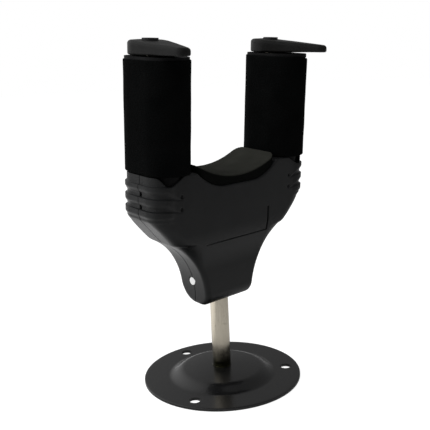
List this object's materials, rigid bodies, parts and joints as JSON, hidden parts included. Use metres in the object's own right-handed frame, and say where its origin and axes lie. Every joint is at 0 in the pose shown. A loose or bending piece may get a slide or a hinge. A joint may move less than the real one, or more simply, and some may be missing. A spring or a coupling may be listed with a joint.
{
  "type": "instrument wall hanger",
  "caption": "Round wall plate with a rod that carries a tilting, swivelling yoke: padded saddle, foam-sleeved arms and swing gates that close as the yoke tilts.",
  "frame": {"origin": "centre of the wall plate, on its back face", "axes": "+Z out of the wall along the rod, +X along the yoke's width, -Y towards the yoke's front, which is up when it hangs on a wall"},
  "size_m": [0.1018, 0.082, 0.1735],
  "materials": {
    "plate_paint": "black semi-gloss paint on pressed sheet",
    "rod_nickel": "warm nickel plate",
    "zinc_screw": "bright zinc",
    "cast_zinc": "die cast",
    "bronze": "sintered bronze",
    "lever_steel": "black phosphate",
    "spring_steel": "drawn wire",
    "shell_plastic": "satin black moulding",
    "pad_rubber": "soft matt rubber",
    "pin_steel": "ground steel",
    "core_plastic": "black moulding",
    "foam": "black closed-cell foam",
    "bush_nylon": "natural nylon",
    "gate_plastic": "dark grey satin moulding",
    "black_screw": "black oxide"
  },
  "bodies": {
    "wall_mount": {"wall_plate": "plate_paint", "rod": "rod_nickel", "rod_washer": "zinc_screw", "rod_screw": "zinc_screw", "journal_washer": "zinc_screw", "journal_screw": "zinc_screw"},
    "swivel_block": {"pivot_block": "cast_zinc", "swivel_bush": "bronze", "actuator_lever": "lever_steel", "lever_screws": "zinc_screw", "return_spring": "spring_steel"},
    "yoke": {"front_shell": "shell_plastic", "back_shell": "shell_plastic", "shell_screws": "zinc_screw", "saddle_pad": "pad_rubber", "left_pivot_pin": "pin_steel", "right_pivot_pin": "pin_steel", "left_arm_core": "core_plastic", "right_arm_core": "core_plastic", "left_foam_sleeve": "foam", "right_foam_sleeve": "foam", "left_end_plate": "core_plastic", "right_end_plate": "core_plastic", "left_end_screws": "zinc_screw", "right_end_screws": "zinc_screw", "left_upper_bush": "bush_nylon", "right_upper_bush": "bush_nylon", "left_lower_bush": "bush_nylon", "right_lower_bush": "bush_nylon"},
    "left_gate_unit": {"left_gate": "gate_plastic", "left_gate_shaft": "pin_steel", "left_gate_screw": "black_screw", "left_crank": "cast_zinc", "left_crank_pin": "zinc_screw"},
    "right_gate_unit": {"right_gate": "gate_plastic", "right_gate_shaft": "pin_steel", "right_gate_screw": "black_screw", "right_crank": "cast_zinc", "right_crank_pin": "zinc_screw"}
  },
  "joints": [
    {"name": "yoke_swivel", "type": "hinge", "parent": "wall_mount", "child": "swivel_block", "pos_m": [0, 0, 0.056], "axis": [0, 0, 1], "range_deg": [-45, 45]},
    {"name": "yoke_tilt", "type": "hinge", "parent": "swivel_block", "child": "yoke", "pos_m": [0, 0, 0.056], "axis": [-1, 0, 0], "range_deg": [0, 8], "stiffness_Nm_per_rad": 1.2, "springref_deg": -20.05, "deforming": ["return_spring"]},
    {"name": "left_gate_swing", "type": "hinge", "parent": "yoke", "child": "left_gate_unit", "pos_m": [-0.0389, -0.00032, 0.11018], "axis": [0, -0.0872, 0.9962], "range_deg": [0, 80]},
    {"name": "right_gate_swing", "type": "hinge", "parent": "yoke", "child": "right_gate_unit", "pos_m": [0.0389, -0.00032, 0.11018], "axis": [0, 0.0872, -0.9962], "range_deg": [0, 80]}
  ],
  "couplings": [
    {"joint": "left_gate_swing", "follows": "yoke_tilt", "ratio": 10},
    {"joint": "right_gate_swing", "follows": "yoke_tilt", "ratio": 10}
  ]
}
